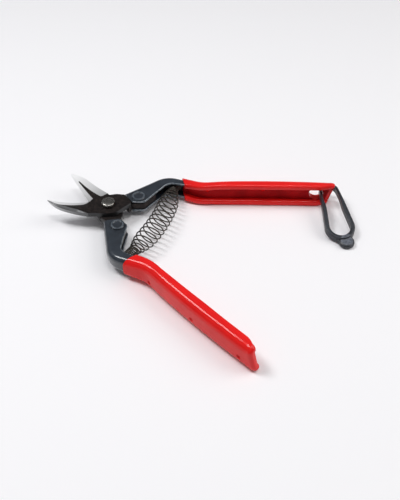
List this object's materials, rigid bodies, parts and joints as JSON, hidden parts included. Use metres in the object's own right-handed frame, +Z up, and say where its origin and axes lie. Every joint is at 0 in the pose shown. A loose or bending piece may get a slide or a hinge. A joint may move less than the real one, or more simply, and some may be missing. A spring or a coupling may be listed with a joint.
{
  "type": "harvest scissors",
  "caption": "Spring-opened hand snips for fruit picking: two crossed halves with short upswept blades, vinyl-dipped channel handles, a bowed coil spring and a strap that loops the handles shut.",
  "frame": {"origin": "bottom middle of the bounding box, on the surface that the open tool lies on", "axes": "+X from the blades to the handles along the centre line, +Z up, square to the plane in which the halves turn"},
  "size_m": [0.1796, 0.147, 0.0165],
  "materials": {
    "painted_steel": "dark blue-grey paint, half gloss",
    "blade_steel": "dark heat-treated steel with ground bevels",
    "red_vinyl": "glossy dipped vinyl",
    "nickel": "nickel plate",
    "spring_steel": "dark drawn wire",
    "black_plastic": "moulded, half matt"
  },
  "bodies": {
    "lower_handle": {"lower_handle_channel": "painted_steel", "lower_grip_vinyl": "red_vinyl", "lower_blade": "blade_steel", "lower_tang_rivet": "painted_steel", "lower_spring_peg": "spring_steel", "pivot_bolt": "nickel", "pivot_washer": "nickel", "pivot_nut": "nickel", "return_spring": "spring_steel"},
    "upper_handle": {"upper_handle_channel": "painted_steel", "upper_grip_vinyl": "red_vinyl", "upper_blade": "blade_steel", "upper_tang_rivet": "painted_steel", "upper_spring_peg": "spring_steel"},
    "strap": {"locking_strap": "black_plastic"}
  },
  "joints": [
    {"name": "handle_pivot", "type": "hinge", "parent": "lower_handle", "child": "upper_handle", "pos_m": [-0.05552, -0.00203, 0.00825], "axis": [0, 0, -1], "range_deg": [0, 43], "stiffness_Nm_per_rad": 0.8, "deforming": ["return_spring"]},
    {"name": "strap_swing", "type": "hinge", "parent": "upper_handle", "child": "strap", "pos_m": [0.0638, 0.06732, 0.00825], "axis": [0, 0, 1], "range_deg": [0, 65]}
  ]
}
